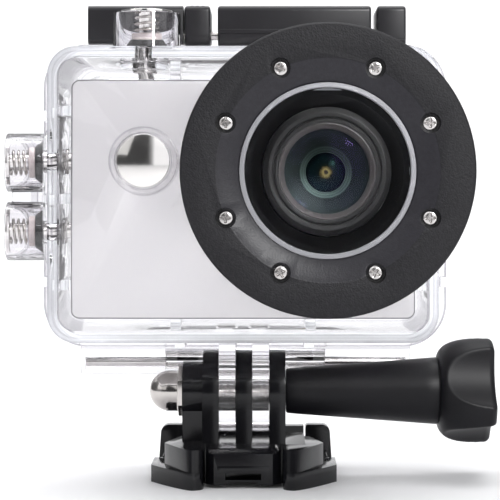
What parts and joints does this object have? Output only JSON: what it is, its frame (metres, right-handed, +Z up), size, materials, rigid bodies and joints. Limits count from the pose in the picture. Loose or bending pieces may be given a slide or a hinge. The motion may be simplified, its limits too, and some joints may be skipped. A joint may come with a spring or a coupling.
{
  "type": "action camera",
  "caption": "Action camera in a clear dive housing with sprung buttons, black window ring, top latch and hinged rear door, on a tilting quick-release buckle with a long thumbscrew.",
  "frame": {"origin": "centre of the flat underside of the quick-release buckle, below the pivot axis", "axes": "+X to the right as seen from in front of the lens, +Y away from the subject (the lens looks along -Y), +Z up"},
  "size_m": [0.0873, 0.0429, 0.086],
  "materials": {
    "buckle_plastic": "glossy black moulded plastic",
    "knob_plastic": "satin black moulded plastic",
    "polished_steel": "mirror polish",
    "steel": "bright zinc plate",
    "spring_steel": "drawn wire",
    "clear_polycarbonate": "clear, polished",
    "ring_plastic": "finely textured matte black",
    "window_glass": "clear flat glass",
    "black_rubber": "matte",
    "white_silicone": "matte, translucent white",
    "washer_nylon": "warm white nylon",
    "latch_plastic": "satin black moulded plastic",
    "silver_shell": "pale silver paint",
    "lens_black": "matte black",
    "lens_trim": "satin grey-brown",
    "lens_glass": "coated lens glass",
    "circuit_board": "green solder mask",
    "battery_wrap": "blue shrink wrap",
    "screen": "dark glass",
    "black_plastic": "matte",
    "plated_metal": "nickel plate",
    "brass": "turned brass",
    "key_plastic": "silver paint"
  },
  "bodies": {
    "buckle": {"buckle_base": "buckle_plastic", "cap_nut": "polished_steel"},
    "clip_left": {"buckle_clip_left": "buckle_plastic"},
    "clip_right": {"buckle_clip_right": "buckle_plastic"},
    "thumbscrew": {"thumbscrew_knob": "knob_plastic", "thumbscrew_bolt": "steel"},
    "housing": {"housing_front": "clear_polycarbonate", "lens_ring": "ring_plastic", "lens_window": "window_glass", "window_seal": "black_rubber", "ring_screws": "steel", "door_hinge_pin": "steel", "latch_anchor_left": "latch_plastic", "latch_anchor_right": "latch_plastic", "latch_pin": "steel", "button_seals": "black_rubber", "button_washers": "washer_nylon", "shutter_spring": "spring_steel", "power_spring": "spring_steel", "up_spring": "spring_steel", "down_spring": "spring_steel", "camera_front_shell": "silver_shell", "camera_rear_shell": "silver_shell", "lens_bezel": "lens_black", "lens_barrel": "lens_black", "lens_retainer": "lens_trim", "front_glass": "lens_glass", "inner_lens": "lens_glass", "sensor_board": "circuit_board", "main_board": "circuit_board", "battery": "battery_wrap", "battery_door": "silver_shell", "lcd_screen": "screen", "screen_glass": "screen", "memory_card": "black_plastic", "card_slot": "plated_metal", "usb_port": "plated_metal", "hdmi_port": "plated_metal", "speaker": "black_plastic", "microphone": "plated_metal", "tripod_insert": "brass", "case_screws": "steel"},
    "door": {"housing_door": "clear_polycarbonate", "door_seal": "white_silicone"},
    "lever": {"latch_lever": "latch_plastic"},
    "lock": {"latch_lock": "latch_plastic"},
    "shutter_push": {"shutter_plunger": "polished_steel", "shutter_clip": "steel"},
    "shutter_key": {"camera_shutter_button": "key_plastic"},
    "power_push": {"power_plunger": "polished_steel", "power_clip": "steel"},
    "power_key": {"camera_power_button": "key_plastic"},
    "up_push": {"up_plunger": "polished_steel", "up_clip": "steel"},
    "up_key": {"camera_up_button": "key_plastic"},
    "down_push": {"down_plunger": "polished_steel", "down_clip": "steel"},
    "down_key": {"camera_down_button": "key_plastic"}
  },
  "joints": [
    {"name": "mount_pivot", "type": "hinge", "parent": "buckle", "child": "housing", "pos_m": [0, 0, 0.0155], "axis": [1, 0, 0], "range_deg": [-30, 55]},
    {"name": "thumbscrew_turn", "type": "hinge", "parent": "buckle", "child": "thumbscrew", "pos_m": [0, 0, 0.0155], "axis": [1, 0, 0], "continuous": true},
    {"name": "clip_left_squeeze", "type": "hinge", "parent": "buckle", "child": "clip_left", "pos_m": [-0.0142, 0.0026, 0.002], "axis": [0, 0, -1], "range_deg": [0, 5], "stiffness_Nm_per_rad": 0.1},
    {"name": "clip_right_squeeze", "type": "hinge", "parent": "buckle", "child": "clip_right", "pos_m": [0.0142, 0.0026, 0.002], "axis": [0, 0, 1], "range_deg": [0, 5], "stiffness_Nm_per_rad": 0.1},
    {"name": "door_hinge", "type": "hinge", "parent": "housing", "child": "door", "pos_m": [0, 0.0132, 0.0196], "axis": [-1, 0, 0], "range_deg": [0, 100]},
    {"name": "latch_lift", "type": "hinge", "parent": "housing", "child": "lever", "pos_m": [0.009, 0.0062, 0.0806], "axis": [1, 0, 0], "range_deg": [0, 90]},
    {"name": "latch_lock_slide", "type": "slide", "parent": "housing", "child": "lock", "axis": [1, 0, 0], "range_m": [0, 0.0011]},
    {"name": "shutter_press", "type": "slide", "parent": "housing", "child": "shutter_push", "axis": [0, 0, -1], "range_m": [0, 0.0006], "stiffness_N_per_m": 500, "springref_m": -0.0005, "deforming": ["shutter_spring"]},
    {"name": "shutter_key_press", "type": "slide", "parent": "housing", "child": "shutter_key", "axis": [0, 0, -1], "range_m": [0, 0.0006]},
    {"name": "power_press", "type": "slide", "parent": "housing", "child": "power_push", "axis": [0, 1, 0], "range_m": [0, 0.0006], "stiffness_N_per_m": 500, "springref_m": -0.0005, "deforming": ["power_spring"]},
    {"name": "power_key_press", "type": "slide", "parent": "housing", "child": "power_key", "axis": [0, 1, 0], "range_m": [0, 0.0006]},
    {"name": "up_press", "type": "slide", "parent": "housing", "child": "up_push", "axis": [1, 0, 0], "range_m": [0, 0.0006], "stiffness_N_per_m": 500, "springref_m": -0.0005, "deforming": ["up_spring"]},
    {"name": "up_key_press", "type": "slide", "parent": "housing", "child": "up_key", "axis": [1, 0, 0], "range_m": [0, 0.0006]},
    {"name": "down_press", "type": "slide", "parent": "housing", "child": "down_push", "axis": [1, 0, 0], "range_m": [0, 0.0006], "stiffness_N_per_m": 500, "springref_m": -0.0005, "deforming": ["down_spring"]},
    {"name": "down_key_press", "type": "slide", "parent": "housing", "child": "down_key", "axis": [1, 0, 0], "range_m": [0, 0.0006]}
  ],
  "couplings": [
    {"joint": "shutter_key_press", "follows": "shutter_press", "ratio": 1},
    {"joint": "power_key_press", "follows": "power_press", "ratio": 1},
    {"joint": "up_key_press", "follows": "up_press", "ratio": 1},
    {"joint": "down_key_press", "follows": "down_press", "ratio": 1}
  ]
}
